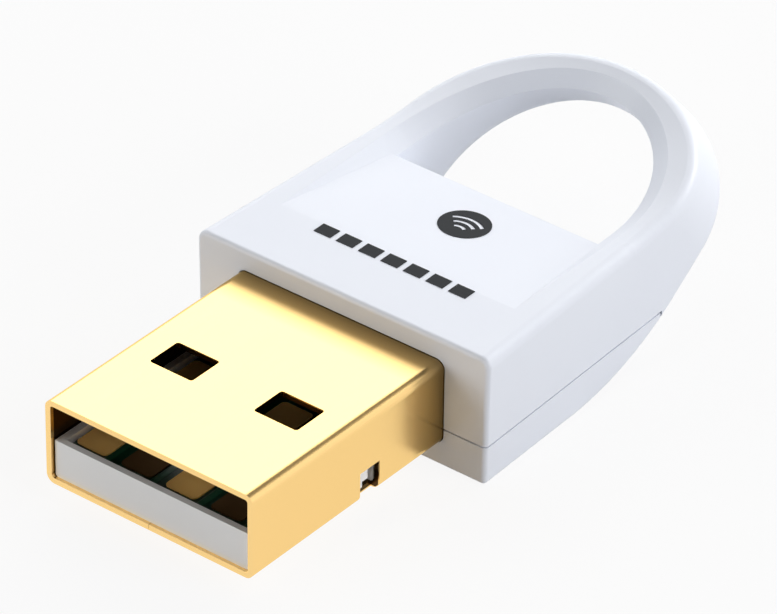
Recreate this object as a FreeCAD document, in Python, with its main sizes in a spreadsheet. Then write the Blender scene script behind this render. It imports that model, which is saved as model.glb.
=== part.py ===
import FreeCAD, Part
import math
import os
import Sketcher

# A small USB wireless adapter: a metal plug, a two-part plastic housing whose tail is a pull loop,
# and a populated circuit board inside. X runs across the plug, Y from the plug's mouth to the tail,
# Z up. Every size below is measured from the plug's mouth, from the middle plane, or from the plug's axis.

doc = FreeCAD.newDocument("usb_adapter")
sheet = doc.addObject("Spreadsheet::Sheet", "dims")

sizes = [
    # How far a cut runs past a face, and how deep a rib or a tongue starts inside its wall
    ("overrun", 0.1),
    ("root_depth", 0.2),
    # Place of the origin, under the middle of the part
    ("origin_setback", 18.24),
    # Metal plug shell
    ("plug_width", 12.0),
    ("plug_height", 4.5),
    ("plug_reach", 13.48),
    ("shell_tail", 4.3),
    ("sheet_gauge", 0.3),
    ("shell_corner", 0.45),
    ("butt_gap", 0.02),
    ("window_length", 2.0),
    ("window_width", 2.5),
    ("window_pitch", 6.06),
    ("window_setback", 5.12),
    ("window_round", 0.15),
    ("notch_setback", 7.5),
    ("notch_length", 1.38),
    ("notch_rise", 1.62),
    ("notch_bite", 0.5),
    ("leg_length", 2.2),
    ("leg_root", 0.5),
    ("leg_height", 1.2),
    # Plastic tray in the lower half of the plug
    ("tray_setback", 0.18),
    ("tray_play", 0.08),
    ("tray_top", 0.02),
    ("tray_lip", 0.32),
    ("tray_rim", 0.38),
    ("tray_end_gap", 1.0),
    ("nub_length", 0.58),
    ("nub_lift", 0.75),
    ("nub_play", 0.03),
    ("nub_relief", 0.9),
    # Circuit board
    ("board_gauge", 0.8),
    ("tray_floor_level", -1.1),
    ("board_play", 0.08),
    ("board_length", 22.9),
    ("wing_play", 0.17),
    ("wing_setback", 18.1),
    ("pin_radius", 0.45),
    ("pin_play", 0.08),
    ("pin_inset", 0.9),
    ("pin_setback", 22.3),
    # Contact pads
    ("contact_width", 1.8),
    ("contact_pitch", 2.6),
    ("contact_offset", 0.3),
    ("contact_setback", 0.95),
    ("contact_length", 8.4),
    ("contact_gauge", 0.06),
    ("contact_round", 0.25),
    # Housing outside
    ("housing_width", 17.04),
    ("housing_top", 3.38),
    ("housing_base", 3.5),
    ("side_draft", 0.1),
    ("tail_width", 15.68),
    ("round_length", 9.28),
    ("tail_reach", 36.82),
    ("tail_lean", 43.2),
    ("bend_setback", 25.16),
    ("bend_radius", 24.2),
    ("under_setback", 20.3),
    ("under_radius", 16.0),
    ("under_slope", 31.0),
    ("edge_round", 0.55),
    ("base_round", 0.2),
    ("face_round", 0.24),
    # Gap of the loop, the bevel round it and the sunken panel
    ("gap_width", 11.88),
    ("gap_setback", 24.88),
    ("gap_round_length", 8.64),
    ("tail_band", 2.5),
    ("loop_round", 1.0),
    ("gap_lean", 40.4),
    ("bevel_width", 0.95),
    ("bevel_depth", 0.68),
    ("panel_setback", 17.53),
    ("panel_front_width", 13.66),
    ("panel_drop", 0.55),
    # Lower cover and the hollow
    ("seam_drop", 1.39),
    ("seam_gap", 0.09),
    ("seam_depth", 0.3),
    ("cover_reach", 27.35),
    ("cover_gap", 0.15),
    ("front_wall", 1.0),
    ("side_wall", 1.15),
    ("rear_wall", 1.15),
    ("roof_gauge", 0.9),
    ("floor_gauge", 0.95),
    ("opening_play", 0.04),
    ("chamber_split", 18.7),
    ("step_roof", 1.75),
    ("post_radius", 0.85),
    ("tab_length", 2.0),
    ("tab_gauge", 0.55),
    ("tab_rise", 1.5),
    ("tab_play", 0.05),
    ("tab_front_setback", 15.0),
    ("tab_rear_setback", 19.9),
    ("rib_setback", 15.4),
    ("rib_gauge", 0.7),
    ("pin_rise", 0.75),
    ("nib_reach", 0.3),
    ("nib_height", 0.5),
    ("nib_lead", 0.15),
    ("nib_land", 0.2),
    # Parts on the board
    ("chip_size", 4.0),
    ("chip_height", 0.85),
    ("chip_setback", 19.9),
    ("chip_offset", 1.0),
    ("lead_width", 0.22),
    ("lead_pitch", 0.5),
    ("lead_gauge", 0.2),
    ("lead_reach", 0.06),
    ("mark_radius", 0.25),
    ("mark_inset", 0.6),
    ("mark_depth", 0.05),
    ("crystal_length", 3.2),
    ("crystal_width", 2.5),
    ("crystal_height", 0.7),
    ("crystal_offset", 3.2),
    ("crystal_setback", 19.4),
    ("memory_length", 2.9),
    ("memory_width", 2.6),
    ("memory_height", 0.95),
    ("memory_offset", 2.6),
    ("memory_setback", 13.4),
    ("regulator_length", 2.9),
    ("regulator_width", 1.6),
    ("regulator_height", 1.0),
    ("regulator_offset", 2.6),
    ("regulator_setback", 13.4),
    ("foot_width", 0.4),
    ("foot_reach", 0.45),
    ("foot_pitch", 0.65),
    ("regulator_foot_pitch", 0.95),
    ("passive_length", 1.0),
    ("passive_width", 0.5),
    ("passive_height", 0.45),
    ("passive_pitch", 1.6),
    ("passive_gap", 0.7),
    ("row_gap", 1.35),
    ("bead_length", 1.6),
    ("bead_width", 0.8),
    ("bead_height", 0.75),
    ("trace_width", 0.3),
    ("trace_gauge", 0.05),
    ("trace_clearance", 0.8),
    ("trace_reach", 0.95),
    ("trace_setback", 22.3),
    ("solder_size", 0.55),
    ("solder_inset", 0.55),
    ("solder_length", 1.5),
    # Printed marks
    ("ink_gauge", 0.03),
    ("disc_radius", 1.28),
    ("disc_setback", 22.0),
    ("disc_offset", 0.5),
    ("dash_count", 7.0),
    ("dash_length", 0.98),
    ("dash_width", 0.75),
    ("dash_pitch", 1.31),
    ("dash_offset", 0.18),
    ("dash_setback", 17.13),
    ("arc_drop", 0.75),
    ("arc_start", 0.35),
    ("arc_pitch", 0.42),
    ("arc_width", 0.2),
    ("arc_sweep", 84.0),
]

for row, (alias, number) in enumerate(sizes, 1):
    cell = "A%d" % row
    sheet.set(cell, str(number))
    sheet.setAlias(cell, alias)
doc.recompute()


def size(alias):
    return float(sheet.get(alias))


def worth(formula):
    # what a formula comes to now
    value = sheet.evalExpression(formula)
    return float(getattr(value, "Value", value))


def bind(item, **links):
    for name, formula in links.items():
        item.setExpression(name.replace("__", "."), formula)


def seat(item):
    # moves a piece from the plug's own axes to the part's axes
    bind(item, Placement__Base__y="-dims.origin_setback", Placement__Base__z="dims.housing_base")


def newBody(label):
    body = doc.addObject("PartDesign::Body", label)
    body.Label = label
    seat(body)
    return body


def block(body, name, kind, low, extent):
    # a box inside a body, from its low corner and its extent along X, Y and Z
    box = body.newObject("PartDesign::" + kind + "Box", name)
    bind(box, Placement__Base__x=low[0], Placement__Base__y=low[1], Placement__Base__z=low[2],
         Length=extent[0], Width=extent[1], Height=extent[2])
    return box


def drum(body, name, kind, middle, radius, height):
    # an upright cylinder inside a body
    cylinder = body.newObject("PartDesign::" + kind + "Cylinder", name)
    bind(cylinder, Placement__Base__x=middle[0], Placement__Base__y=middle[1], Placement__Base__z=middle[2],
         Radius=radius, Height=height)
    return cylinder


def edgesWhere(shape, test):
    return [number for number, edge in enumerate(shape.Edges, 1) if test(edge)]


def runsAlong(edge, axis):
    first = edge.Vertexes[0].Point
    last = edge.Vertexes[-1].Point
    reach = last.sub(first)
    return len(edge.Vertexes) == 2 and abs(abs(reach.getAngle(axis)) % math.pi) < 0.01


def roundEdges(body, name, test, radius):
    doc.recompute()
    base = body.Tip
    fillet = body.newObject("PartDesign::Fillet", name)
    fillet.Base = (base, ["Edge%d" % number for number in edgesWhere(base.Shape, test)])
    fillet.setExpression("Radius", radius)
    return fillet


def originPlane(body, role):
    return [plane for plane in body.Origin.OriginFeatures if plane.Role == role][0]


def polygon(sketch, corners):
    # a closed outline of straight sides, each corner held by two formulas
    count = len(corners)
    start = [FreeCAD.Vector(math.cos(2 * math.pi * turn / count), math.sin(2 * math.pi * turn / count), 0)
             for turn in range(count)]
    first = sketch.GeometryCount
    for turn in range(count):
        sketch.addGeometry(Part.LineSegment(start[turn], start[(turn + 1) % count]), False)
    for turn, (across, along) in enumerate(corners):
        line = first + turn
        follower = first + (turn + 1) % count
        sketch.addConstraint(Sketcher.Constraint("Coincident", line, 2, follower, 1))
        held = sketch.addConstraint(Sketcher.Constraint("DistanceX", -1, 1, line, 1, start[turn].x))
        sketch.setExpression("Constraints[%d]" % held, across)
        held = sketch.addConstraint(Sketcher.Constraint("DistanceY", -1, 1, line, 1, start[turn].y))
        sketch.setExpression("Constraints[%d]" % held, along)


def bodySketch(body, name, role, corners):
    sketch = body.newObject("Sketcher::SketchObject", name)
    sketch.AttachmentSupport = [(originPlane(body, role), "")]
    sketch.MapMode = "FlatFace"
    polygon(sketch, corners)
    return sketch


sideways = FreeCAD.Rotation(FreeCAD.Vector(1, 1, 1), 120)
facing = FreeCAD.Rotation(FreeCAD.Vector(1, 0, 0), 90)


def freeSketch(name, turn=None):
    # a sketch that stands alone: side view (Y and Z), front view (X and Z) or plan (X and Y)
    sketch = doc.addObject("Sketcher::SketchObject", name)
    if turn is not None:
        sketch.Placement = FreeCAD.Placement(FreeCAD.Vector(), turn)
    return sketch


def lengthBind(sketch, constraint, formula):
    held = sketch.addConstraint(constraint)
    sketch.setExpression("Constraints[%d]" % held, formula)
    return held


def freeBox(name, low, extent):
    box = doc.addObject("Part::Box", name)
    bind(box, Placement__Base__x=low[0], Placement__Base__y=low[1], Placement__Base__z=low[2],
         Length=extent[0], Width=extent[1], Height=extent[2])
    return box


def join(name, pieces):
    fuse = doc.addObject("Part::MultiFuse", name)
    fuse.Shapes = pieces
    return fuse


def cut(name, base, tool):
    result = doc.addObject("Part::Cut", name)
    result.Base = base
    result.Tool = tool
    return result


def common(name, pieces):
    result = doc.addObject("Part::MultiCommon", name)
    result.Shapes = pieces
    return result


# Room that a cutting tool runs past a face
past = 2.0


def sideProfile():
    # side view of the housing: level top, then a rising bend; level base, then a rising bend and a straight
    sketch = freeSketch("side_profile", sideways)
    front = size("plug_reach")
    top = size("housing_top")
    base = -size("housing_base")
    limit = size("tail_reach") + past
    bendY = size("bend_setback")
    bendR = size("bend_radius")
    underY = size("under_setback")
    underR = size("under_radius")
    slope = math.radians(size("under_slope"))
    bendTurn = math.asin((limit - bendY) / bendR)
    bendEnd = FreeCAD.Vector(limit, top + bendR * (1 - math.cos(bendTurn)), 0)
    underEnd = FreeCAD.Vector(underY + underR * math.sin(slope), base + underR * (1 - math.cos(slope)), 0)
    tailEnd = FreeCAD.Vector(limit, underEnd.y + (limit - underEnd.x) * math.tan(slope), 0)
    quarter = math.pi / 2
    bendCircle = Part.Circle(FreeCAD.Vector(bendY, top + bendR, 0), FreeCAD.Vector(0, 0, 1), bendR)
    underCircle = Part.Circle(FreeCAD.Vector(underY, base + underR, 0), FreeCAD.Vector(0, 0, 1), underR)
    frontLine = sketch.addGeometry(Part.LineSegment(FreeCAD.Vector(front, top, 0),
                                                    FreeCAD.Vector(front, base, 0)))
    baseLine = sketch.addGeometry(Part.LineSegment(FreeCAD.Vector(front, base, 0),
                                                   FreeCAD.Vector(underY, base, 0)))
    underArc = sketch.addGeometry(Part.ArcOfCircle(underCircle, -quarter, slope - quarter))
    underLine = sketch.addGeometry(Part.LineSegment(underEnd, tailEnd))
    tailLine = sketch.addGeometry(Part.LineSegment(tailEnd, bendEnd))
    bendArc = sketch.addGeometry(Part.ArcOfCircle(bendCircle, -quarter, bendTurn - quarter))
    topLine = sketch.addGeometry(Part.LineSegment(FreeCAD.Vector(bendY, top, 0),
                                                  FreeCAD.Vector(front, top, 0)))
    rule = Sketcher.Constraint
    sketch.addConstraint([
        rule("Coincident", frontLine, 2, baseLine, 1),
        rule("Coincident", underLine, 2, tailLine, 1),
        rule("Coincident", tailLine, 2, bendArc, 2),
        rule("Coincident", topLine, 2, frontLine, 1),
        rule("Tangent", baseLine, 2, underArc, 1),
        rule("Tangent", underArc, 2, underLine, 1),
        rule("Tangent", bendArc, 1, topLine, 1),
        rule("Vertical", frontLine),
        rule("Horizontal", baseLine),
        rule("Vertical", tailLine),
        rule("Horizontal", topLine),
    ])
    lengthBind(sketch, rule("DistanceX", -1, 1, frontLine, 1, front), "dims.plug_reach")
    lengthBind(sketch, rule("DistanceY", -1, 1, frontLine, 1, top), "dims.housing_top")
    lengthBind(sketch, rule("DistanceY", -1, 1, frontLine, 2, base), "-dims.housing_base")
    lengthBind(sketch, rule("DistanceX", -1, 1, baseLine, 2, underY), "dims.under_setback")
    lengthBind(sketch, rule("DistanceX", -1, 1, topLine, 1, bendY), "dims.bend_setback")
    lengthBind(sketch, rule("Radius", underArc, underR), "dims.under_radius")
    lengthBind(sketch, rule("Radius", bendArc, bendR), "dims.bend_radius")
    lengthBind(sketch, rule("DistanceX", -1, 1, tailLine, 1, limit), "dims.tail_reach + %s" % past)
    lengthBind(sketch, rule("Angle", underLine, slope), "dims.under_slope * 1 deg")
    return sketch


def loopOutline(name, height, halfFront, halfRound, middle, reach):
    # plan of a loop at one level: sides from the front to half an ellipse that they touch
    sketch = freeSketch(name)
    bind(sketch, Placement__Base__z=height)
    front = size("plug_reach")
    centre = worth(middle)
    long = worth(reach) - centre
    wide = worth(halfRound)
    half = worth(halfFront)
    across = half / wide
    along = (front - centre) / long
    touch = math.atan2(along, across) + math.acos(1 / math.hypot(across, along))
    side = FreeCAD.Vector(wide * math.cos(touch), centre + long * math.sin(touch), 0)
    mirror = FreeCAD.Vector(-side.x, side.y, 0)
    heart = FreeCAD.Vector(0, centre, 0)
    tip = FreeCAD.Vector(0, centre + long, 0)
    quarter = math.pi / 2
    if long > wide:
        ellipse = Part.Ellipse(tip, FreeCAD.Vector(-wide, centre, 0), heart)
        arc = sketch.addGeometry(Part.ArcOfEllipse(ellipse, touch - quarter, quarter - touch))
    else:
        ellipse = Part.Ellipse(FreeCAD.Vector(wide, centre, 0), tip, heart)
        arc = sketch.addGeometry(Part.ArcOfEllipse(ellipse, touch, math.pi - touch))
    right = sketch.addGeometry(Part.LineSegment(FreeCAD.Vector(half, front, 0), side))
    left = sketch.addGeometry(Part.LineSegment(mirror, FreeCAD.Vector(-half, front, 0)))
    face = sketch.addGeometry(Part.LineSegment(FreeCAD.Vector(-half, front, 0),
                                               FreeCAD.Vector(half, front, 0)))
    majorAxis = sketch.GeometryCount
    minorAxis = majorAxis + 1
    sketch.exposeInternalGeometry(arc)
    lengthwise, crosswise = (majorAxis, minorAxis) if long > wide else (minorAxis, majorAxis)
    rule = Sketcher.Constraint
    sketch.addConstraint([
        rule("Coincident", left, 2, face, 1),
        rule("Coincident", face, 2, right, 1),
        rule("PointOnObject", arc, 3, -2),
        rule("Vertical", lengthwise),
    ])
    lengthBind(sketch, rule("DistanceY", -1, 1, arc, 3, centre), middle)
    lengthBind(sketch, rule("Distance", lengthwise, 2 * long), "2 * ((%s) - (%s))" % (reach, middle))
    lengthBind(sketch, rule("Distance", crosswise, 2 * wide), "2 * (%s)" % halfRound)
    lengthBind(sketch, rule("DistanceX", -1, 1, right, 1, half), halfFront)
    lengthBind(sketch, rule("DistanceY", -1, 1, right, 1, front), "dims.plug_reach")
    lengthBind(sketch, rule("DistanceX", -1, 1, left, 2, -half), "-(%s)" % halfFront)
    lengthBind(sketch, rule("DistanceY", -1, 1, left, 2, front), "dims.plug_reach")
    sketch.addConstraint([
        rule("Tangent", right, 2, arc, 1),
        rule("Tangent", arc, 2, left, 1),
    ])
    return sketch


def leaningPrism(name, frontWidth, roundWidth, roundStart, reach, lean, draft):
    # straight walls between two plans of a loop, the rounded end shifted by the lean between them
    sections = []
    fall = "(dims.housing_base + dims.housing_top)"
    for suffix, rise in (("_low", "(-%s - %s)" % (fall, past)), ("_high", "(dims.tail_reach / 6)")):
        shift = "%s * tan(%s * 1 deg)" % (rise, lean)
        sections.append(loopOutline(name + suffix, "dims.housing_top + " + rise,
                                    "%s / 2 + %s * %s / %s" % (frontWidth, rise, draft, fall),
                                    "%s / 2" % roundWidth,
                                    "%s - %s" % (roundStart, shift),
                                    "%s - %s" % (reach, shift)))
    doc.recompute()
    loft = doc.addObject("Part::Loft", name)
    loft.Sections = sections
    loft.Solid = True
    loft.Ruled = True
    return loft


def sweptBox(name, sketch, direction, length, back="0"):
    # a sketch drawn out along a direction
    swept = doc.addObject("Part::Extrusion", name)
    swept.Base = sketch
    swept.DirMode = "Custom"
    swept.Dir = direction
    swept.Solid = True
    bind(swept, LengthFwd=length, LengthRev=back)
    return swept


# Housing blank: side view and plan in common, less the gap of the loop
acrossX = FreeCAD.Vector(1, 0, 0)
alongY = FreeCAD.Vector(0, 1, 0)
upwards = FreeCAD.Vector(0, 0, 1)
side = sweptBox("side_form", sideProfile(), acrossX, "dims.housing_width", "dims.housing_width")
plan = leaningPrism("plan_form", "dims.housing_width", "dims.tail_width",
                    "dims.tail_reach - dims.round_length",
                    "dims.tail_reach", "dims.tail_lean", "dims.side_draft")
gapReach = "(dims.tail_reach - dims.tail_band)"
slot = leaningPrism("slot_form", "dims.gap_width", "dims.gap_width", gapReach + " - dims.gap_round_length",
                    gapReach, "dims.gap_lean", "0")
behindPanel = freeBox("behind_panel",
                      ("-dims.housing_width", "dims.gap_setback", "-dims.housing_base - %s" % past),
                      ("2 * dims.housing_width", "dims.tail_reach", "dims.tail_reach"))
outer = common("outer_form", [side, plan])
gap = common("gap_form", [slot, behindPanel])
blankCut = cut("blank_cut", outer, gap)
doc.recompute()


def topHeight(along):
    rise = max(0.0, along - size("bend_setback"))
    return size("housing_top") + size("bend_radius") - math.sqrt(size("bend_radius") ** 2 - rise ** 2)


def baseHeight(along):
    slope = math.radians(size("under_slope"))
    rise = along - size("under_setback")
    bend = size("under_radius") * math.sin(slope)
    if rise <= 0:
        return -size("housing_base")
    if rise <= bend:
        return -size("housing_base") + size("under_radius") - math.sqrt(size("under_radius") ** 2 - rise ** 2)
    lift = size("under_radius") * (1 - math.cos(slope))
    return -size("housing_base") + lift + (rise - bend) * math.tan(slope)


close = 0.005


def samples(edge):
    first, last = edge.ParameterRange
    return [edge.valueAt(first + (last - first) * step / 6) for step in range(7)]


def besideGap(point):
    inner = size("gap_width") / 2 + 2 * close
    lean = math.tan(math.radians(size("gap_lean")))
    reach = size("tail_reach") - size("tail_band") - (point.z - size("housing_top")) * lean
    return abs(point.x) < inner and size("gap_setback") - close < point.y < reach + 2 * close


def acrossPlug(points):
    return max(point.y for point in points) - min(point.y for point in points) < close


def topOuter(edge):
    points = samples(edge)
    onTop = all(abs(point.z - topHeight(point.y)) < close for point in points)
    return onTop and not all(besideGap(point) for point in points) and not acrossPlug(points)


def topInner(edge):
    points = samples(edge)
    onTop = all(abs(point.z - topHeight(point.y)) < close for point in points)
    return onTop and all(besideGap(point) for point in points) and not acrossPlug(points)


def baseOuter(edge):
    points = samples(edge)
    onBase = all(abs(point.z - baseHeight(point.y)) < close for point in points)
    ahead = points[0].y < size("plug_reach") + close
    return onBase and not all(besideGap(point) for point in points) and (ahead or not acrossPlug(points))


def baseInner(edge):
    points = samples(edge)
    onBase = all(abs(point.z - baseHeight(point.y)) < close for point in points)
    return onBase and all(besideGap(point) for point in points)


def onFront(edge):
    points = samples(edge)
    ahead = all(abs(point.y - size("plug_reach")) < close for point in points)
    return ahead and max(point.z for point in points) > 0


def edgeFeature(body, kind, name, test, **values):
    doc.recompute()
    base = body.Tip
    feature = body.newObject("PartDesign::" + kind, name)
    feature.Base = (base, ["Edge%d" % number for number in edgesWhere(base.Shape, test)])
    if kind == "Chamfer":
        feature.ChamferType = "Two distances"
    bind(feature, **values)
    return feature


blank = doc.addObject("PartDesign::Body", "housing_blank")
blank.BaseFeature = blankCut
doc.recompute()
edgeFeature(blank, "Fillet", "top_edges", topOuter, Radius="dims.edge_round")
edgeFeature(blank, "Fillet", "face_edges", onFront, Radius="dims.face_round")
edgeFeature(blank, "Chamfer", "gap_bevel", topInner, Size="dims.bevel_width", Size2="dims.bevel_depth")
edgeFeature(blank, "Fillet", "base_edges", baseOuter, Radius="dims.base_round")
edgeFeature(blank, "Fillet", "loop_edges", baseInner, Radius="dims.loop_round")
doc.recompute()

# Sunken panel: a shallow slope that runs out at the front; its flared sides meet the gap's bevel in one line
panelRun = "(dims.gap_setback - dims.panel_setback)"
panelSlope = "(dims.panel_drop / %s)" % panelRun
panelFlare = "(dims.bevel_width / dims.bevel_depth)"
panelRearHalf = "(dims.gap_width / 2 + (dims.bevel_depth - dims.panel_drop) * %s)" % panelFlare
panelTaper = "((dims.panel_front_width / 2 - %s) / %s)" % (panelRearHalf, panelRun)
panelSections = []
for name, run in (("panel_front", "(-1)"), ("panel_rear", panelRun)):
    section = freeSketch(name, facing)
    bind(section, Placement__Base__y="dims.panel_setback + " + run)
    half = "(dims.panel_front_width / 2 - %s * %s)" % (panelTaper, run)
    floor = "(dims.housing_top - %s * %s)" % (panelSlope, run)
    roof = "(dims.housing_top + %s)" % past
    roofHalf = "(%s + %s * (%s - %s))" % (half, panelFlare, roof, floor)
    polygon(section, [("-" + half, floor), (half, floor), (roofHalf, roof), ("-" + roofHalf, roof)])
    panelSections.append(section)
doc.recompute()
panelTool = doc.addObject("Part::Loft", "panel_tool")
panelTool.Sections = panelSections
panelTool.Solid = True
panelTool.Ruled = True

# Hollow for the plug's tail and the board
hollowHalf = "(dims.housing_width / 2 - dims.side_wall)"
floorTop = "(-dims.housing_base + dims.floor_gauge)"
frontHollow = freeBox("front_hollow", ("-" + hollowHalf, "dims.plug_reach + dims.front_wall", floorTop),
                      ("2 * " + hollowHalf, "dims.chamber_split - dims.plug_reach - dims.front_wall",
                       "dims.housing_top - dims.roof_gauge - " + floorTop))
rearHollow = freeBox("rear_hollow", ("-" + hollowHalf, "dims.chamber_split - dims.overrun", floorTop),
                     ("2 * " + hollowHalf,
                      "dims.gap_setback - dims.rear_wall - dims.chamber_split + dims.overrun",
                      "dims.step_roof - " + floorTop))
opening = doc.addObject("PartDesign::Body", "plug_opening")
block(opening, "opening_box", "Additive",
      ("-dims.plug_width / 2 - dims.opening_play", "dims.plug_reach - 1",
       "-dims.plug_height / 2 - dims.opening_play"),
      ("dims.plug_width + 2 * dims.opening_play", "dims.shell_tail + 1",
       "dims.plug_height + 2 * dims.opening_play"))
roundEdges(opening, "opening_round", lambda edge: runsAlong(edge, alongY),
           "dims.shell_corner + dims.opening_play")
hollow = join("hollow", [frontHollow, rearHollow, opening])

# Seam: everything below it and ahead of the cover's end belongs to the lower cover
wide = "dims.housing_width"
coverZone = freeBox("cover_zone", ("-" + wide, "dims.plug_reach - 1", "-dims.housing_base - 1"),
                    ("2 * " + wide, "dims.cover_reach - dims.plug_reach + 1",
                     "dims.housing_base - dims.seam_drop + 1"))
clearZone = freeBox("clear_zone", ("-" + wide, "dims.plug_reach - 1", "-dims.housing_base - 1"),
                    ("2 * " + wide, "dims.cover_reach + dims.cover_gap - dims.plug_reach + 1",
                     "dims.housing_base - dims.seam_drop + 1"))
seamSlab = freeBox("seam_slab", ("-" + wide, "dims.plug_reach - 1", "-dims.seam_drop - dims.seam_gap"),
                   ("2 * " + wide, "dims.tail_reach", "dims.seam_gap + dims.overrun"))
seamCore = freeSketch("seam_core")
bind(seamCore, Placement__Base__z="-dims.housing_base")
polygon(seamCore, [
    ("-dims.housing_width / 2 + dims.seam_depth", "dims.plug_reach + dims.seam_depth"),
    ("dims.housing_width / 2 - dims.seam_depth", "dims.plug_reach + dims.seam_depth"),
    ("dims.tail_width / 2 - dims.seam_depth", "dims.tail_reach"),
    ("-dims.tail_width / 2 + dims.seam_depth", "dims.tail_reach"),
])
seamHeart = sweptBox("seam_heart", seamCore, FreeCAD.Vector(0, 0, 1), "2 * dims.housing_base")
seamGroove = cut("seam_groove", seamSlab, seamHeart)

# Snap tongues on the cover and the pockets they catch in
tongues = []
pockets = []
tabOuter = "(%s - dims.tab_play)" % hollowHalf
tabTop = "(dims.tab_rise - dims.seam_drop)"
for sideName, sign in (("left", "-"), ("right", "")):
    for placeName, place in (("front", "dims.tab_front_setback"), ("rear", "dims.tab_rear_setback")):
        name = sideName + "_" + placeName
        low = tabOuter + " - dims.tab_gauge" if sign == "" else "-" + tabOuter
        tongues.append(freeBox("tongue_" + name, (low, place, floorTop + " - dims.root_depth"),
                               ("dims.tab_gauge", "dims.tab_length",
                                tabTop + " - " + floorTop + " + dims.root_depth")))
        low = tabOuter + " - dims.tab_gauge" if sign == "" else "-" + hollowHalf + " - dims.overrun"
        tongues.append(freeBox("root_" + name, (low, place, floorTop + " - dims.root_depth"),
                               ("dims.tab_gauge + dims.tab_play + dims.overrun", "dims.tab_length",
                                "-dims.seam_drop - dims.seam_gap - %s + dims.root_depth" % floorTop)))
        nib = freeSketch("nib_plan_" + name, facing)
        bind(nib, Placement__Base__y=place + " + dims.tab_length")
        inner = "%s(%s - dims.overrun)" % (sign, tabOuter)
        tip = "%s(%s + dims.nib_reach)" % (sign, tabOuter)
        nibBase = tabTop + " - dims.nib_height - dims.nib_land"
        polygon(nib, [(inner, tabTop + " - dims.nib_lead"), (inner, nibBase), (tip, nibBase),
                      (tip, tabTop + " - dims.nib_height")])
        tongues.append(sweptBox("nib_" + name, nib, FreeCAD.Vector(0, -1, 0), "dims.tab_length"))
        low = "%s - dims.overrun" % hollowHalf if sign == "" else "-%s - dims.nib_reach" % hollowHalf
        pockets.append(freeBox("pocket_" + name, (low, place + " - dims.tab_play",
                                                  nibBase + " - dims.tab_play"),
                               ("dims.nib_reach + dims.overrun", "dims.tab_length + 2 * dims.tab_play",
                                "dims.nib_height + dims.nib_land + 2 * dims.tab_play")))

# Ribs that hold the plug shell, and posts that hold the board
boardTop = "(dims.tray_floor_level + dims.board_gauge)"
boardBase = "dims.tray_floor_level"
ribHalf = "(dims.plug_width / 2 - 1)"
shellEnd = "(dims.plug_reach + dims.shell_tail)"
shellLow = "(-dims.plug_height / 2)"
wingHalf = "(%s - dims.tab_play - dims.tab_gauge - dims.wing_play)" % hollowHalf
pinHalf = "(%s - dims.pin_inset)" % wingHalf
floorHeart = "(-dims.housing_base + dims.floor_gauge / 2)"
roofHeart = "(dims.housing_top - dims.roof_gauge / 2)"
coverParts = [
    freeBox("cradle", ("-" + ribHalf, "dims.rib_setback", floorHeart),
            ("2 * " + ribHalf, "dims.rib_gauge", shellLow + " - " + floorHeart)),
    freeBox("cover_stop", ("-" + ribHalf, shellEnd, floorHeart),
            ("2 * " + ribHalf, "dims.rib_gauge", shellLow + " + 2 * dims.sheet_gauge - " + floorHeart)),
]
roofParts = [
    freeBox("roof_rib", ("-" + ribHalf, "dims.rib_setback", "dims.plug_height / 2"),
            ("2 * " + ribHalf, "dims.rib_gauge", roofHeart + " - dims.plug_height / 2")),
    freeBox("roof_stop", ("-" + ribHalf, shellEnd, "dims.plug_height / 2 - 2 * dims.sheet_gauge"),
            ("2 * " + ribHalf, "dims.rib_gauge",
             roofHeart + " - dims.plug_height / 2 + 2 * dims.sheet_gauge")),
]


def freeDrum(name, middle, radius, height):
    cylinder = doc.addObject("Part::Cylinder", name)
    bind(cylinder, Placement__Base__x=middle[0], Placement__Base__y=middle[1], Placement__Base__z=middle[2],
         Radius=radius, Height=height)
    return cylinder


pinHoles = []
for sideName, sign in (("left", "-"), ("right", "")):
    across = sign + pinHalf
    coverParts.append(freeDrum("cover_post_" + sideName,
                               (across, "dims.pin_setback", floorTop + " - dims.root_depth"),
                               "dims.post_radius", boardBase + " - " + floorTop + " + dims.root_depth"))
    coverParts.append(freeDrum("pin_" + sideName,
                               (across, "dims.pin_setback", boardBase + " - dims.root_depth"),
                               "dims.pin_radius", "dims.root_depth + dims.board_gauge + dims.pin_rise"))
    roofParts.append(freeDrum("roof_post_" + sideName, (across, "dims.pin_setback", boardTop),
                              "dims.post_radius", "dims.step_roof - " + boardTop + " + dims.root_depth"))
    pinHoles.append(freeDrum("pin_hole_" + sideName,
                             (across, "dims.pin_setback", boardTop + " - dims.root_depth"),
                             "dims.pin_radius + dims.pin_play",
                             "dims.root_depth + dims.pin_rise + dims.pin_play"))

# The two halves of the housing
coverShell = cut("cover_shell", common("cover_blank", [blank, coverZone]),
                 join("cover_cuts", [hollow, seamGroove, panelTool]))
lowerCover = join("lower_cover", [coverShell] + tongues + coverParts)
roofShell = cut("roof_shell", blank, join("roof_cuts", [hollow, clearZone, panelTool] + pockets))
upperHousing = cut("upper_housing", join("roof_joined", [roofShell] + roofParts),
                   join("pin_holes", pinHoles))
for item in (lowerCover, upperHousing):
    seat(item)
doc.recompute()

# Plug shell: a folded sheet tube with windows, corner notches, a butt seam underneath and two solder legs
shell = newBody("plug_shell")
block(shell, "shell_outside", "Additive", ("-dims.plug_width / 2", "0", "-dims.plug_height / 2"),
      ("dims.plug_width", shellEnd, "dims.plug_height"))
roundEdges(shell, "shell_outer_round", lambda edge: runsAlong(edge, alongY), "dims.shell_corner")
block(shell, "shell_inside", "Subtractive",
      ("-dims.plug_width / 2 + dims.sheet_gauge", "-1", "-dims.plug_height / 2 + dims.sheet_gauge"),
      ("dims.plug_width - 2 * dims.sheet_gauge", shellEnd + " + 2",
       "dims.plug_height - 2 * dims.sheet_gauge"))


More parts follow.
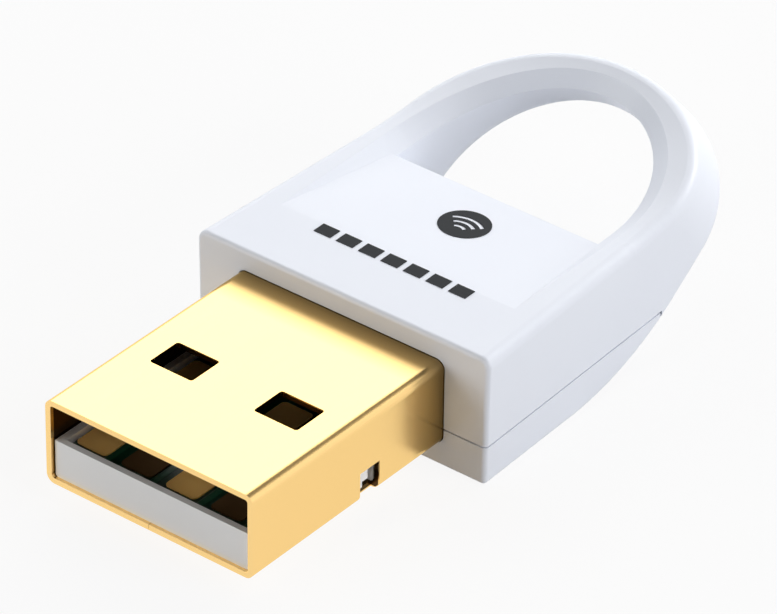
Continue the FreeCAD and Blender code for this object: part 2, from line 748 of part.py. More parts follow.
def insideCorner(edge):
    middle = edge.CenterOfMass
    return (edge.Curve.TypeId == "Part::GeomLine" and runsAlong(edge, alongY)
            and abs(abs(middle.x) - size("plug_width") / 2 + size("sheet_gauge")) < close
            and abs(abs(middle.z) - size("plug_height") / 2 + size("sheet_gauge")) < close)


roundEdges(shell, "shell_inner_round", insideCorner, "dims.shell_corner - dims.sheet_gauge")
for face, level in (("top", "dims.plug_height / 2 - dims.sheet_gauge - dims.overrun"),
                    ("bottom", "-dims.plug_height / 2 - dims.overrun")):
    for sideName, sign in (("left", "-"), ("right", "")):
        block(shell, "window_%s_%s" % (face, sideName), "Subtractive",
              (sign + "dims.window_pitch / 2 - dims.window_width / 2", "dims.window_setback", level),
              ("dims.window_width", "dims.window_length", "dims.sheet_gauge + 2 * dims.overrun"))
roundEdges(shell, "window_rounds",
           lambda edge: runsAlong(edge, upwards) and edge.Length < size("sheet_gauge") + close,
           "dims.window_round")
for sideName, start in (("left", "-dims.plug_width / 2 - dims.overrun"),
                        ("right", "dims.plug_width / 2 - dims.notch_bite")):
    block(shell, "notch_" + sideName, "Subtractive",
          (start, "dims.notch_setback", "-dims.plug_height / 2 - dims.overrun"),
          ("dims.notch_bite + dims.overrun", "dims.notch_length", "dims.notch_rise + dims.overrun"))
block(shell, "butt_seam", "Subtractive",
      ("-dims.butt_gap / 2", "-1", "-dims.plug_height / 2 - dims.overrun"),
      ("dims.butt_gap", shellEnd + " + 2", "dims.sheet_gauge + 2 * dims.overrun"))
for sideName, start in (("left", "-dims.plug_width / 2"),
                        ("right", "dims.plug_width / 2 - dims.sheet_gauge")):
    block(shell, "leg_" + sideName, "Additive", (start, shellEnd + " - dims.leg_root", boardTop),
          ("dims.sheet_gauge", "dims.leg_length + dims.leg_root", "dims.leg_height"))

# Plastic tray that fills the lower half of the plug
tray = newBody("contact_tray")
trayHalf = "(dims.plug_width / 2 - dims.sheet_gauge - dims.tray_play)"
trayBase = "(-dims.plug_height / 2 + dims.sheet_gauge)"
trayEnd = "(%s - dims.tray_end_gap)" % shellEnd
block(tray, "tray_block", "Additive", ("-" + trayHalf, "dims.tray_setback", trayBase),
      ("2 * " + trayHalf, trayEnd + " - dims.tray_setback", "dims.tray_top - " + trayBase))
roundEdges(tray, "tray_round",
           lambda edge: runsAlong(edge, alongY) and edge.CenterOfMass.z < -1,
           "dims.shell_corner - dims.sheet_gauge")
block(tray, "tray_recess", "Subtractive",
      ("-%s + dims.tray_rim" % trayHalf, "dims.tray_setback + dims.tray_lip", boardBase),
      ("2 * (%s - dims.tray_rim)" % trayHalf, trayEnd, "dims.tray_top - %s + dims.overrun" % boardBase))
nubStart = "(dims.notch_setback + dims.nub_play)"
nubEnd = "(%s + dims.nub_length)" % nubStart
nubTop = "(dims.notch_rise - dims.sheet_gauge)"
for sideName, start in (("left", "-dims.plug_width / 2 + dims.sheet_gauge / 4"),
                        ("right", trayHalf + " - dims.root_depth")):
    block(tray, "nub_" + sideName, "Additive", (start, nubStart, trayBase + " + dims.nub_lift"),
          ("dims.tray_play + dims.root_depth + 0.75 * dims.sheet_gauge", "dims.nub_length",
           nubTop + " - dims.nub_lift - dims.nub_play"))
for sideName, start in (("left", "-%s - dims.overrun" % trayHalf),
                        ("right", trayHalf + " - dims.nub_relief")):
    block(tray, "relief_" + sideName, "Subtractive", (start, nubEnd, trayBase + " - dims.overrun"),
          ("dims.nub_relief + dims.overrun", "dims.notch_setback + dims.notch_length - " + nubEnd,
           nubTop + " + dims.overrun"))

# Circuit board: a tongue in the tray and a wider end in the housing
board = newBody("circuit_board")
tongueHalf = "(%s - dims.tray_rim - dims.board_play)" % trayHalf
boardStart = "(dims.tray_setback + dims.tray_lip + dims.board_play)"
block(board, "board_tongue", "Additive", ("-" + tongueHalf, boardStart, boardBase),
      ("2 * " + tongueHalf, "dims.board_length", "dims.board_gauge"))
block(board, "board_wings", "Additive", ("-" + wingHalf, "dims.wing_setback", boardBase),
      ("2 * " + wingHalf, boardStart + " + dims.board_length - dims.wing_setback", "dims.board_gauge"))
for sideName, sign in (("left", "-"), ("right", "")):
    drum(board, "board_hole_" + sideName, "Subtractive",
         (sign + pinHalf, "dims.pin_setback", boardBase + " - dims.overrun"),
         "dims.pin_radius + dims.pin_play", "dims.board_gauge + 2 * dims.overrun")

pieces = [upperHousing, lowerCover, shell, tray, board]


def onBoard(label, width, length, height, across, along):
    # a plain block that stands on the board, from its size and the place of its middle
    body = newBody(label)
    block(body, label + "_block", "Additive",
          ("%s - (%s) / 2" % (across, width), "%s - (%s) / 2" % (along, length), boardTop),
          (width, length, height))
    pieces.append(body)
    return body


# Contact pads, flat on the board behind the tray's lip
for label, step in (("contact_power", -1.5), ("contact_data_minus", -0.5), ("contact_data_plus", 0.5),
                    ("contact_ground", 1.5)):
    pad = onBoard(label, "dims.contact_width", "dims.contact_length", "dims.contact_gauge",
                  "(%s * dims.contact_pitch - dims.contact_offset)" % step,
                  "(dims.contact_setback + dims.contact_length / 2)")
    roundEdges(pad, label + "_round", lambda edge: runsAlong(edge, upwards), "dims.contact_round")

# Radio chip with leads on its four sides
chip = onBoard("radio_chip", "dims.chip_size", "dims.chip_size", "dims.chip_height", "dims.chip_offset",
               "dims.chip_setback")
drum(chip, "first_lead_mark", "Subtractive",
     ("dims.chip_offset - dims.chip_size / 2 + dims.mark_inset",
      "dims.chip_setback - dims.chip_size / 2 + dims.mark_inset",
      boardTop + " + dims.chip_height - dims.mark_depth"), "dims.mark_radius", "2 * dims.mark_depth")
leadReach = "(dims.chip_size + 2 * dims.lead_reach)"
for count in range(6):
    shift = "%s * dims.lead_pitch" % (count - 2.5)
    block(chip, "leads_across_%d" % count, "Additive",
          ("dims.chip_offset - %s / 2" % leadReach,
           "dims.chip_setback + %s - dims.lead_width / 2" % shift, boardTop),
          (leadReach, "dims.lead_width", "dims.lead_gauge"))
    block(chip, "leads_along_%d" % count, "Additive",
          ("dims.chip_offset + %s - dims.lead_width / 2" % shift,
           "dims.chip_setback - %s / 2" % leadReach, boardTop),
          ("dims.lead_width", leadReach, "dims.lead_gauge"))

# Crystal can, memory and voltage regulator
crystal = onBoard("crystal", "dims.crystal_width", "dims.crystal_length", "dims.crystal_height",
                  "-dims.crystal_offset", "dims.crystal_setback")
roundEdges(crystal, "crystal_round", lambda edge: runsAlong(edge, upwards), "dims.contact_round")


def leggedChip(label, length, width, height, across, along, feet):
    # a small moulded block with feet on its two long sides
    body = onBoard(label, length, width, height, across, along)
    for count, place in enumerate(feet):
        block(body, "%s_foot_%d" % (label, count), "Additive",
              ("%s + (%s) - dims.foot_width / 2" % (across, place),
               "%s - (%s) / 2 - dims.foot_reach" % (along, width), boardTop),
              ("dims.foot_width", "(%s) + 2 * dims.foot_reach" % width, "dims.lead_gauge"))
    return body


leggedChip("memory_chip", "dims.memory_length", "dims.memory_width", "dims.memory_height",
           "-dims.memory_offset",
           "dims.memory_setback", ["%s * dims.foot_pitch" % step for step in (-1.5, -0.5, 0.5, 1.5)])
leggedChip("voltage_regulator", "dims.regulator_length", "dims.regulator_width", "dims.regulator_height",
           "dims.regulator_offset", "dims.regulator_setback",
           ["%s * dims.regulator_foot_pitch" % step for step in (-1.0, 0.0, 1.0)])

# Small two-ended parts: a row ahead of the radio chip, three behind and beside it, and a column in the middle
chipRow = "(dims.chip_setback - dims.chip_size / 2 - dims.row_gap - dims.passive_width / 2)"
columnStep = "(dims.passive_width + dims.passive_gap)"
besideChip = "(dims.chip_offset + dims.chip_size / 2 + dims.passive_gap + dims.passive_length / 2)"
for label, across, along in (
    ("capacitor_1", besideChip, "dims.chip_setback"),
    ("capacitor_2", besideChip, "(dims.chip_setback + dims.passive_width + dims.passive_gap)"),
    ("capacitor_3", "-dims.crystal_offset",
     "(dims.crystal_setback + (dims.crystal_length + dims.passive_gap + dims.passive_width) / 2)"),
    ("capacitor_4", "(dims.chip_offset - 0.5 * dims.passive_pitch)", chipRow),
    ("capacitor_5", "(dims.chip_offset + 0.5 * dims.passive_pitch)", chipRow),
    ("capacitor_6", "(dims.chip_offset + 1.5 * dims.passive_pitch)", chipRow),
    ("resistor_1", "0", "(dims.memory_setback - 0.5 * %s)" % columnStep),
    ("resistor_2", "0", "(dims.memory_setback + 0.5 * %s)" % columnStep),
    ("resistor_3", "(dims.chip_offset - 2 * dims.passive_pitch)", chipRow),
):
    onBoard(label, "dims.passive_length", "dims.passive_width", "dims.passive_height", across, along)
onBoard("ferrite_bead", "dims.bead_length", "dims.bead_width", "dims.bead_height", "0",
        "(dims.memory_setback - 1.5 * %s)" % columnStep)

# Antenna: a thin copper meander across the board's rear end
antenna = newBody("antenna_trace")
turns = 9
tracePitch = "(2 * (%s - dims.post_radius - dims.trace_clearance) / %d)" % (pinHalf, turns)
for turn in range(turns + 1):
    shift = "(%s * %s)" % (turn - turns / 2, tracePitch)
    block(antenna, "trace_along_%d" % turn, "Additive",
          (shift + " - dims.trace_width / 2", "dims.trace_setback", boardTop),
          ("dims.trace_width", "dims.trace_reach", "dims.trace_gauge"))
for turn in range(turns):
    shift = "(%s * %s)" % (turn - turns / 2, tracePitch)
    rearTurn = " + dims.trace_reach - dims.trace_width" if turn % 2 else ""
    block(antenna, "trace_across_%d" % turn, "Additive",
          (shift + " - dims.trace_width / 2", "dims.trace_setback" + rearTurn, boardTop),
          (tracePitch + " + dims.trace_width", "dims.trace_width", "dims.trace_gauge"))
pieces.append(antenna)

# Solder that holds the shell's legs to the board
for label, sign in (("solder_joint_left", "-"), ("solder_joint_right", "")):
    joint = newBody(label)
    inner = "dims.plug_width / 2 - dims.sheet_gauge"
    section = bodySketch(joint, label + "_section", "XZ_Plane", [
        ("%s(%s)" % (sign, inner), boardTop),
        ("%s(%s)" % (sign, inner), boardTop + " + dims.solder_size"),
        ("%s(%s - dims.solder_size)" % (sign, inner), boardTop),
    ])
    pad = joint.newObject("PartDesign::Pad", label + "_pad")
    pad.Profile = section
    pad.Reversed = True
    bind(section, AttachmentOffset__Base__z="-(%s + dims.solder_inset)" % shellEnd)
    bind(pad, Length="dims.solder_length")
    pieces.append(joint)

# Printed marks: a disc with three arcs on the sunken panel, a row of plain dashes ahead of it
tilt = "atan(%s)" % panelSlope
discBase = doc.addObject("Part::Cylinder", "disc_base")
bind(discBase, Radius="dims.disc_radius", Height="dims.ink_gauge")
arcTools = []
for count in range(3):
    radius = "(dims.arc_start + %d * dims.arc_pitch)" % count
    ring = doc.addObject("Part::Cylinder", "arc_outside_%d" % count)
    bind(ring, Radius=radius + " + dims.arc_width", Height="dims.ink_gauge + 2 * dims.overrun",
         Angle="dims.arc_sweep * 1 deg", Placement__Base__y="-dims.arc_drop",
         Placement__Base__z="-dims.overrun")
    bore = doc.addObject("Part::Cylinder", "arc_inside_%d" % count)
    bind(bore, Radius=radius, Height="dims.ink_gauge + 4 * dims.overrun",
         Placement__Base__y="-dims.arc_drop",
         Placement__Base__z="-2 * dims.overrun")
    ring.Placement.Rotation = FreeCAD.Rotation(FreeCAD.Vector(0, 0, 1), 90)
    bind(ring, Placement__Rotation__Angle="90 deg - dims.arc_sweep * 0.5 deg")
    arcTools.append(cut("arc_%d" % count, ring, bore))
disc = cut("printed_disc", discBase, join("arc_tools", arcTools))
disc.Placement.Rotation = FreeCAD.Rotation(FreeCAD.Vector(1, 0, 0), -4)
bind(disc, Placement__Rotation__Angle="-1 * " + tilt, Placement__Base__x="dims.disc_offset",
     Placement__Base__y="dims.disc_setback - dims.origin_setback",
     Placement__Base__z="dims.housing_base + dims.housing_top - %s * (dims.disc_setback - dims.panel_setback)"
                        % panelSlope)
pieces.append(disc)
dashes = []
for count in range(int(size("dash_count"))):
    shift = count - (size("dash_count") - 1) / 2
    dash = freeBox("dash_%d" % count,
                   ("dims.dash_offset + %s * dims.dash_pitch - dims.dash_length / 2" % shift,
                    "dims.dash_setback - dims.dash_width / 2", "dims.housing_top"),
                   ("dims.dash_length", "dims.dash_width", "dims.ink_gauge"))
    dashes.append(dash)
dashRow = join("printed_dashes", dashes)
seat(dashRow)
pieces.append(dashRow)

doc.recompute()
for item in doc.Objects:
    if "Invalid" in item.State or "Error" in item.State:
        raise RuntimeError("%s did not compute" % item.Name)
os.makedirs("parts", exist_ok=True)
for item in pieces:
    if item.Shape.isNull() or not item.Shape.isValid():
        raise RuntimeError("%s has no valid shape" % item.Label)
    item.Shape.exportStep("parts/%s.step" % item.Label)
    print(item.Label, len(item.Shape.Solids), round(item.Shape.Volume, 3))
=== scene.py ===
import bpy
import math
from mathutils import Matrix, Vector


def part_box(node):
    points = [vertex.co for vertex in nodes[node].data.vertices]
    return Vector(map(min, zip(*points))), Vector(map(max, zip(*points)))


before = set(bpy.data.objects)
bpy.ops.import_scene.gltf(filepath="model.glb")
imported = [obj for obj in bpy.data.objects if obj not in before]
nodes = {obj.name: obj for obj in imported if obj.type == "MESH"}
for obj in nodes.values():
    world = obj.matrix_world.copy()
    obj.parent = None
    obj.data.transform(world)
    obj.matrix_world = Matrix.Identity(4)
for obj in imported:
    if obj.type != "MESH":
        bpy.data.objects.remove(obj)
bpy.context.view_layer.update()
scene = bpy.context.scene
scene.view_settings.view_transform = "Standard"
mm = 0.001
print("frame loaded,", len(nodes), "nodes")

# The camera and the plug's painted shade are measured from the plug's mouth and axis, a place that the plug
# gives
plugLow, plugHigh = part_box("plug_shell")
mouth = Vector((0, plugLow[1], (plugLow[2] + plugHigh[2]) / 2))


def hexToLinear(code):
    # sRGB hex to the linear colour that Blender's sockets take
    parts = [int(code[i:i + 2], 16) / 255 for i in (1, 3, 5)]
    return tuple(p / 12.92 if p <= 0.04045 else ((p + 0.055) / 1.055) ** 2.4 for p in parts) + (1.0,)


def addNode(tree, kind, settings=None, links=None):
    # settings are the node's own attributes or socket values, links are {socket: (other node, its output)}
    node = tree.nodes.new(kind)
    for name, value in (settings or {}).items():
        if isinstance(name, str) and hasattr(node, name):
            setattr(node, name, value)
        else:
            node.inputs[name].default_value = value
    for socket, (other, output) in (links or {}).items():
        tree.links.new(other.outputs[output], node.inputs[socket])
    return node


def newTree(name):
    material = bpy.data.materials.new(name)
    material.use_nodes = True
    material.node_tree.nodes.clear()
    return material, material.node_tree


def fineGrain(tree, finish, where, output):
    # one fine pattern, grain mm apart and depth mm deep, that breaks up the gloss and dents the surface
    grain = addNode(tree, "ShaderNodeTexNoise", {"Scale": 1 / (finish["grain"] * mm), "Detail": 2.0},
                    {"Vector": (where, output)})
    gloss = addNode(tree, "ShaderNodeMapRange",
                    {"To Min": finish["roughness"][0], "To Max": finish["roughness"][1]},
                    {"Value": (grain, "Fac")})
    skin = addNode(tree, "ShaderNodeBump", {"Strength": finish["relief"], "Distance": finish["depth"] * mm},
                   {"Height": (grain, "Fac")})
    return {"Roughness": (gloss, "Result"), "Normal": (skin, "Normal")}


def backdropRays(tree):
    # one for the rays that find a white backdrop: the camera's, and those off a gloss or through glass
    path = addNode(tree, "ShaderNodeLightPath")
    glossOrCamera = addNode(tree, "ShaderNodeMath", {"operation": "MAXIMUM"},
                            {0: (path, "Is Camera Ray"), 1: (path, "Is Glossy Ray")})
    seen = addNode(tree, "ShaderNodeMath", {"operation": "MAXIMUM"},
                   {0: (glossOrCamera, 0), 1: (path, "Is Transmission Ray")})
    return path, seen


# ABS, moulded in a spark-eroded tool: a cool white whose fine pits break up its soft gloss
housingFinish = {
    "colour": "#f0f4fd",
    "flow": "#ebeff9",        # the faint clouds that the melt leaves
    "flowSize": 7.0,          # mm across a cloud
    "grain": 0.12,            # mm between pits, coarser than the real 0.03 so that it shows
    "depth": 0.0012,          # mm
    "relief": 0.35,
    "roughness": (0.38, 0.46),
    "skin": 0.0,              # share of the surface under a smooth skin
    "ior": 1.53,
}
# PBT, moulded: the plug's tray, a plainer and more matt white
trayFinish = {
    "colour": "#fbfbfc",
    "flow": "#f6f6f7",
    "flowSize": 4.0,
    "grain": 0.15,
    "depth": 0.002,
    "relief": 0.35,
    "roughness": (0.52, 0.6),
    "skin": 1.0,              # the smooth skin that a polished tool leaves over it
    "ior": 1.55,
}


def mouldedPlastic(name, finish):
    material, tree = newTree(name)
    place = addNode(tree, "ShaderNodeTexCoord")
    flow = addNode(tree, "ShaderNodeTexNoise", {"Scale": 1 / (finish["flowSize"] * mm), "Detail": 3.0},
                   {"Vector": (place, "Object")})
    tint = addNode(tree, "ShaderNodeMix",
                   {"data_type": "RGBA", 6: hexToLinear(finish["colour"]), 7: hexToLinear(finish["flow"])},
                   {0: (flow, "Fac")})
    shader = addNode(tree, "ShaderNodeBsdfPrincipled",
                     {"IOR": finish["ior"], "Coat Weight": finish["skin"]},
                     {"Base Color": (tint, 2), **fineGrain(tree, finish, place, "Object")})
    addNode(tree, "ShaderNodeOutputMaterial", None, {"Surface": (shader, "BSDF")})
    return material


# Gold flash over rolled steel: a pale mirror, slightly dulled by rolling lines that run along the plug
plugFinish = {
    "colour": "#fdd690",
    "rim": "#fff3cf",         # tint at grazing angles
    "grain": 0.07,            # mm between rolling lines
    "stretch": 50.0,          # how many times longer than wide a line is
    "depth": 0.0006,          # mm
    "relief": 0.25,
    "roughness": (0.2, 0.26),
    "metallic": 1.0,
    "shade": "#6b5a3c",       # painted shade and painted reflection of the housing, darkening the corner by the housing
    "shadeReach": (11.2, 13.3),    # mm behind the mouth where that starts and is full
    "shadeShare": 0.82,
    "inside": "#4a3420",      # painted shade: the tube's inner walls are darkened to brown, as they lie in shade
    "insideLimits": (5.93, 2.18, 7.94),    # mm from the plug's axis where that ends: across, up, both added
    "insideStart": 0.2,       # mm behind the mouth where it begins, so the rim stays gold
}
# Gold over copper, electroplated: the contacts and the antenna, with a matt bath-plated grain
contactFinish = {
    "colour": "#f7c877",
    "rim": "#ffe9b0",
    "grain": 0.05,
    "stretch": 4.0,
    "depth": 0.001,
    "relief": 0.25,
    "roughness": (0.58, 0.68),
    "metallic": 0.6,          # the open grain scatters the rest of the light
}
# The same plating with painted shade: a darker brown for the two contacts that the light through the
# shell's windows misses
shadedContactFinish = {**contactFinish, "colour": "#5b4228"}


def goldAndPaintedShade(tree, finish, place):
    # the plug's colour: gold, with painted shade towards the housing and a painted brown shade within the
    # tube
    within = addNode(tree, "ShaderNodeSeparateXYZ", None, {"Vector": (place, "Object")})
    # painted shade and painted reflection of the housing, growing towards the housing
    starts, ends = [mouth.y + reach * mm for reach in finish["shadeReach"]]
    housingShade = addNode(tree, "ShaderNodeMapRange",
                      {"From Min": starts, "From Max": ends, "To Max": finish["shadeShare"]},
                      {"Value": (within, "Y")})
    outside = addNode(tree, "ShaderNodeMix",
                      {"data_type": "RGBA", 6: hexToLinear(finish["colour"]),
                       7: hexToLinear(finish["shade"])}, {0: (housingShade, "Result")})
    # painted shade within the tube: a mask of the shell's inner walls, from just behind the mouth
    fromAxis = addNode(tree, "ShaderNodeVectorMath", {"operation": "SUBTRACT", 1: tuple(mouth)},
                       {0: (place, "Object")})
    sizes = addNode(tree, "ShaderNodeVectorMath", {"operation": "ABSOLUTE"}, {0: (fromAxis, "Vector")})
    each = addNode(tree, "ShaderNodeSeparateXYZ", None, {"Vector": (sizes, "Vector")})
    both = addNode(tree, "ShaderNodeMath", {"operation": "ADD"}, {0: (each, "X"), 1: (each, "Z")})
    inside = addNode(tree, "ShaderNodeMath",
                     {"operation": "GREATER_THAN", 1: mouth.y + finish["insideStart"] * mm},
                     {0: (within, "Y")})
    for source, output, limit in zip((each, each, both), ("X", "Z", 0), finish["insideLimits"]):
        near = addNode(tree, "ShaderNodeMath", {"operation": "LESS_THAN", 1: limit * mm},
                       {0: (source, output)})
        inside = addNode(tree, "ShaderNodeMath", {"operation": "MULTIPLY"}, {0: (inside, 0), 1: (near, 0)})
    return addNode(tree, "ShaderNodeMix", {"data_type": "RGBA", 7: hexToLinear(finish["inside"])},
                   {0: (inside, 0), 6: (outside, 2)})


def platedGold(name, finish):
    material, tree = newTree(name)
    place = addNode(tree, "ShaderNodeTexCoord")
    along = addNode(tree, "ShaderNodeMapping", {"Scale": (1, 1 / finish["stretch"], 1)},
                    {"Vector": (place, "Object")})
    shader = addNode(tree, "ShaderNodeBsdfPrincipled",
                     {"Base Color": hexToLinear(finish["colour"]), "Metallic": finish["metallic"],
                      "Specular Tint": hexToLinear(finish["rim"])},
                     fineGrain(tree, finish, along, "Vector"))
    if "shade" in finish:
        tree.links.new(goldAndPaintedShade(tree, finish, place).outputs[2], shader.inputs["Base Color"])
    addNode(tree, "ShaderNodeOutputMaterial", None, {"Surface": (shader, "BSDF")})
    return material


# Solder mask over copper on glass epoxy: a wet-looking dark green, a little lighter over the copper tracks
boardFinish = {
    "mask": "#0c2f20",
    "overCopper": "#17462f",
    "trackSpacing": 0.9,      # mm between tracks
    "trackShare": 0.35,       # how much of that is copper
    "trackEdge": 0.05,        # how soft its edge is, as a share too
    "trackHeight": 0.03,      # mm
    "relief": 0.5,
    "roughness": 0.28,
    "wetness": 0.3,
}


def solderMask(name, finish):
    material, tree = newTree(name)
    place = addNode(tree, "ShaderNodeTexCoord")
    waveLength = 2 * math.pi / 20     # mm of a wave texture at a scale of one per mm
    tracks = addNode(tree, "ShaderNodeTexWave", {"Scale": waveLength / (finish["trackSpacing"] * mm)},
                     {"Vector": (place, "Object")})
    bare, edge = 1 - finish["trackShare"], finish["trackEdge"]
    copper = addNode(tree, "ShaderNodeMapRange", {"From Min": bare - edge, "From Max": bare + edge},
                     {"Value": (tracks, "Fac")})
    tint = addNode(tree, "ShaderNodeMix",
                   {"data_type": "RGBA", 6: hexToLinear(finish["mask"]),
                    7: hexToLinear(finish["overCopper"])}, {0: (copper, "Result")})
    raised = addNode(tree, "ShaderNodeBump",
                     {"Strength": finish["relief"], "Distance": finish["trackHeight"] * mm},
                     {"Height": (copper, "Result")})
    shader = addNode(tree, "ShaderNodeBsdfPrincipled",
                     {"Roughness": finish["roughness"], "Coat Weight": finish["wetness"]},
                     {"Base Color": (tint, 2), "Normal": (raised, "Normal")})
    addNode(tree, "ShaderNodeOutputMaterial", None, {"Surface": (shader, "BSDF")})
    return material


# Small board parts between bright tinned ends: moulded epoxy is grainy and dull, fired ceramic and ferrite
# are matt, and a resistor's glaze shines. The ends are how much of the box's length is tin, along X and Y
tinFinish = {"colour": "#cfcfd0", "roughness": 0.3}
partGrain = {"depth": 0.004, "relief": 0.3}
boardParts = {
    "radio_chip": {
        "name": "mouldedEpoxyRadioChip", "body": "#1b1b1c", "roughness": (0.49, 0.61), "grain": 0.06,
        "ends": (0.015, 0.015)},
    "memory_chip": {
        "name": "mouldedEpoxyMemoryChip", "body": "#1a1a1b", "roughness": (0.54, 0.66), "grain": 0.06,
        "ends": (0.0, 0.128)},
    "voltage_regulator": {
        "name": "mouldedEpoxyRegulator", "body": "#1c1c1d", "roughness": (0.44, 0.56), "grain": 0.06,
        "ends": (0.0, 0.18)},
    "capacitor": {
        "name": "firedCeramicCapacitor", "body": "#a98353", "roughness": (0.39, 0.51), "grain": 0.04,
        "ends": (0.22, 0.0)},
    "resistor": {
        "name": "glazedResistor", "body": "#17171a", "roughness": (0.24, 0.36), "grain": 0.05,
        "ends": (0.2, 0.0)},
    "ferrite_bead": {
        "name": "firedFerriteBead", "body": "#2a2a2b", "roughness": (0.64, 0.76), "grain": 0.05,
        "ends": (0.16, 0.0)},
}


def tinnedPart(finish):
    material, tree = newTree(finish["name"])
    place = addNode(tree, "ShaderNodeTexCoord")
    within = addNode(tree, "ShaderNodeSeparateXYZ", None, {"Vector": (place, "Generated")})
    body = addNode(tree, "ShaderNodeBsdfPrincipled", {"Base Color": hexToLinear(finish["body"])},
                   fineGrain(tree, {**finish, **partGrain}, place, "Object"))
    tin = addNode(tree, "ShaderNodeBsdfPrincipled",
                  {"Base Color": hexToLinear(tinFinish["colour"]), "Metallic": 1.0,
                   "Roughness": tinFinish["roughness"]})
    shader, output = body, "BSDF"
    for axis, share in zip("XY", finish["ends"]):
        if share:
            offset = addNode(tree, "ShaderNodeMath", {"operation": "SUBTRACT", 1: 0.5}, {0: (within, axis)})
            away = addNode(tree, "ShaderNodeMath", {"operation": "ABSOLUTE"}, {0: (offset, 0)})
            atEnd = addNode(tree, "ShaderNodeMath", {"operation": "GREATER_THAN", 1: 0.5 - share},
                            {0: (away, 0)})
            shader = addNode(tree, "ShaderNodeMixShader", None,
                             {0: (atEnd, 0), 1: (shader, output), 2: (tin, "BSDF")})
            output = "Shader"
    addNode(tree, "ShaderNodeOutputMaterial", None, {"Surface": (shader, output)})
    return material


# One thing all over: a nickel-plated can and tin solder, both soft mirrors, and pad-printed ink, dead matt
plainGrain = {"depth": 0.003, "relief": 0.25}
plainFinishes = {
    "crystal": {
        "name": "nickelPlatedCan", "colour": "#c9c6c0", "metallic": 1.0, "roughness": (0.22, 0.34),
        "grain": 0.08},
    "solder_joint": {
        "name": "tinSolder", "colour": "#cacacc", "metallic": 1.0, "roughness": (0.24, 0.36),
        "grain": 0.1},
    "printed": {
        "name": "padPrintedInk", "colour": "#1d2023", "metallic": 0.0, "roughness": (0.74, 0.86),
        "grain": 0.05},
}


def plainSurface(finish):
    material, tree = newTree(finish["name"])
    place = addNode(tree, "ShaderNodeTexCoord")
    shader = addNode(tree, "ShaderNodeBsdfPrincipled",
                     {"Base Color": hexToLinear(finish["colour"]), "Metallic": finish["metallic"]},
                     fineGrain(tree, {**finish, **plainGrain}, place, "Object"))
    addNode(tree, "ShaderNodeOutputMaterial", None, {"Surface": (shader, "BSDF")})
    return material


whiteAbs = mouldedPlastic("mouldedWhiteAbs", housingFinish)
contactGold = platedGold("goldPlatedCopper", contactFinish)
# painted shade on two of the contacts, the data minus and ground ones
shadedContactGold = platedGold("paintedShadeGoldOnCopper", shadedContactFinish)
finishOf = {
    "upper_housing": whiteAbs,
    "lower_cover": whiteAbs,
    "plug_shell": platedGold("goldFlashedSteel", plugFinish),
    "contact_tray": mouldedPlastic("mouldedWhitePbt", trayFinish),
    "contact": contactGold,
    "contact_data_minus": shadedContactGold,
    "contact_ground": shadedContactGold,
    "antenna_trace": contactGold,
    "circuit_board": solderMask("greenSolderMask", boardFinish),
}
for part, finish in boardParts.items():
    finishOf[part] = tinnedPart(finish)
for part, finish in plainFinishes.items():
    finishOf[part] = plainSurface(finish)
for name, node in nodes.items():
    family = max((key for key in finishOf if name.startswith(key)), key=len)   # the longest name that fits
    node.data.materials.clear()
    node.data.materials.append(finishOf[family])
print("finishes set,", len(finishOf), "families")

# Camera, solved from the corners of the plug and of the housing in the photograph
cameraSetup = {
    "turn": 38.13,            # degrees round from the plug's mouth, to the right
    "rise": 33.994,           # degrees above the table
    "roll": 0.762,            # degrees
    "aim": (-0.7593, 17.9842, 0.0),    # mm from the plug's mouth and axis
    "distance": 277.1314,     # mm
    "lens": 278.0,            # mm
    "sensor": 36.0,           # mm
    "clip": (0.01, 20.0),     # m
}
turn, rise, roll = (math.radians(cameraSetup[angle]) for angle in ("turn", "rise", "roll"))
backwards = Vector((math.sin(turn) * math.cos(rise), -math.cos(turn) * math.cos(rise), math.sin(rise)))
level = Vector((math.cos(turn), math.sin(turn), 0))
upright = backwards.cross(level)
right = level * math.cos(roll) + upright * math.sin(roll)
up = upright * math.cos(roll) - level * math.sin(roll)
cameraData = bpy.data.cameras.new("camera")
cameraData.lens = cameraSetup["lens"]
cameraData.sensor_width = cameraSetup["sensor"]
cameraData.clip_start, cameraData.clip_end = cameraSetup["clip"]
camera = bpy.data.objects.new("camera", cameraData)
scene.collection.objects.link(camera)
stand = mouth + Vector(cameraSetup["aim"]) * mm + backwards * cameraSetup["distance"] * mm
camera.matrix_world = Matrix.Translation(stand) @ Matrix((right, up, backwards)).transposed().to_4x4()
scene.camera = camera
print("camera placed")

# Studio: square soft lamps, each by the way from the part towards it, its side in metres and the
# brightness of its face. A wash only brightens, and no gloss shows its square
lampDistance = 0.5            # m
studioLamps = {
    "rearLeftSoftbox": {"towards": (-0.512, 0.652, 0.559), "side": 0.28, "light": (1.75, 1.75, 1.75)},
    "rearLeftWash": {"towards": (-0.512, 0.652, 0.559), "side": 0.5, "light": (2.65, 2.65, 2.65)},
    "rearRightKey": {"towards": (0.257, 0.863, 0.431), "side": 0.12, "light": (18.0, 18.0, 18.0)},
    "rightSoftbox": {"towards": (1.0, 0.1, 0.3), "side": 0.3, "light": (3.5, 3.5, 3.5)},
    "highRightSoftbox": {"towards": (0.75, 0.05, 0.65), "side": 0.3, "light": (1.4, 1.4, 1.4)},
    "frontLeftSoftbox": {"towards": (-0.6, -0.75, 0.25), "side": 0.3, "light": (3.3, 3.3, 3.2)},
}
for name, lamp in studioLamps.items():
    light = bpy.data.lights.new(name, "AREA")
    light.shape = "SQUARE"
    light.size = lamp["side"]
    strongest = max(lamp["light"])
    light.color = [part / strongest for part in lamp["light"]]
    light.energy = strongest * math.pi * lamp["side"] ** 2     # so that its face has that brightness
    holder = bpy.data.objects.new(name, light)
    scene.collection.objects.link(holder)
    towards = Vector(lamp["towards"]).normalized()
    holder.location = towards * lampDistance
    holder.visible_glossy = "Wash" not in name
    holder.rotation_mode = "QUATERNION"
    holder.rotation_quaternion = towards.to_track_quat("Z", "Y")

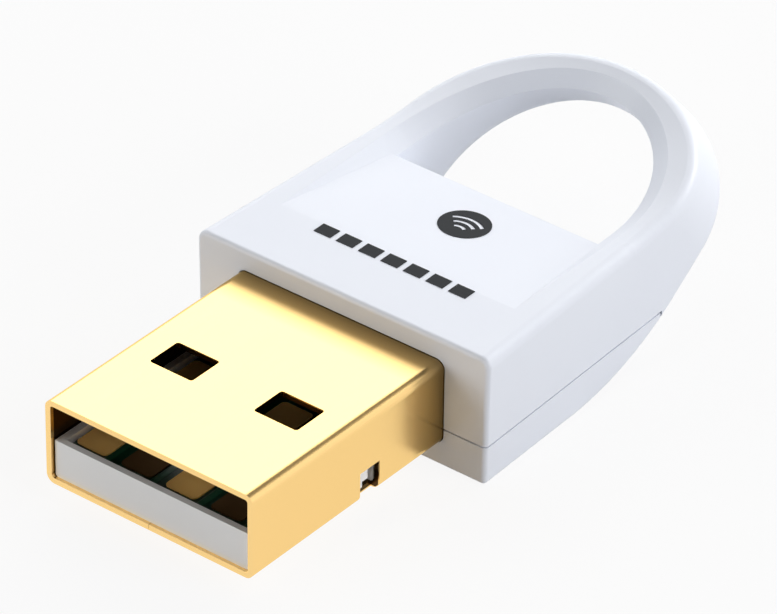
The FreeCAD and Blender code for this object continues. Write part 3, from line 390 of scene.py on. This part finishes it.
# Air: faint light all round; the camera, and gloss up to ceiling height, see a white backdrop instead
air = {
    "light": (0.12, 0.12, 0.12, 1.0),
    "ceilingStart": 0.6,      # how high a ray points where the white ends
    "ceilingEnd": 0.68,       # and where the ceiling is reached
    "ceiling": 0.2,           # the ceiling's brightness, as gloss sees it
}
world = bpy.data.worlds.new("studioAir")
world.use_nodes = True
scene.world = world
sky = world.node_tree
sky.nodes.clear()
path, seen = backdropRays(sky)
place = addNode(sky, "ShaderNodeTexCoord")
height = addNode(sky, "ShaderNodeSeparateXYZ", None, {"Vector": (place, "Generated")})
ceiling = addNode(sky, "ShaderNodeMapRange",
                  {"From Min": air["ceilingStart"], "From Max": air["ceilingEnd"], "To Min": 1.0,
                   "To Max": air["ceiling"]}, {"Value": (height, "Z")})
backdropLight = addNode(sky, "ShaderNodeMath", {"operation": "MAXIMUM"},
                        {0: (path, "Is Camera Ray"), 1: (ceiling, "Result")})
around = addNode(sky, "ShaderNodeBackground", {"Color": air["light"]})
backdrop = addNode(sky, "ShaderNodeBackground", {"Color": hexToLinear("#ffffff")},
                   {"Strength": (backdropLight, 0)})
chosen = addNode(sky, "ShaderNodeMixShader", None,
                 {0: (seen, 0), 1: (around, "Background"), 2: (backdrop, "Background")})
addNode(sky, "ShaderNodeOutputWorld", None, {"Surface": (chosen, "Shader")})

# Table: matt white paper, most of whose look is the white of the backdrop, so the shadow on it is faint
tableSetup = {
    "side": 6.0,              # m
    "drop": 0.02,             # mm below the part, so that the two never share a plane
    "colour": "#fbfbfc",      # as it is seen
    "bounce": "#bcbcbc",      # as it lights the part from below, greyer, since the part's underside is dim
    "roughness": 0.7,
    "backdropShare": 0.88,
}
half = tableSetup["side"] / 2
corners = [(-half, -half, 0), (half, -half, 0), (half, half, 0), (-half, half, 0)]
tableMesh = bpy.data.meshes.new("table")
tableMesh.from_pydata(corners, [], [(0, 1, 2, 3)])
table = bpy.data.objects.new("table", tableMesh)
scene.collection.objects.link(table)
table.location.z = -tableSetup["drop"] * mm
paper, tree = newTree("mattWhitePaper")
path, seen = backdropRays(tree)
share = addNode(tree, "ShaderNodeMath", {"operation": "MULTIPLY", 1: tableSetup["backdropShare"]},
                {0: (seen, 0)})
whiteness = addNode(tree, "ShaderNodeMix",
                    {"data_type": "RGBA", 6: hexToLinear(tableSetup["bounce"]),
                     7: hexToLinear(tableSetup["colour"])}, {0: (seen, 0)})
lit = addNode(tree, "ShaderNodeBsdfDiffuse", {"Roughness": tableSetup["roughness"]},
              {"Color": (whiteness, 2)})
glow = addNode(tree, "ShaderNodeEmission", {"Color": hexToLinear("#ffffff"), "Strength": 1.0})
mixed = addNode(tree, "ShaderNodeMixShader", None, {0: (share, 0), 1: (lit, "BSDF"), 2: (glow, "Emission")})
addNode(tree, "ShaderNodeOutputMaterial", None, {"Surface": (mixed, "Shader")})
tableMesh.materials.append(paper)
print("studio ready")
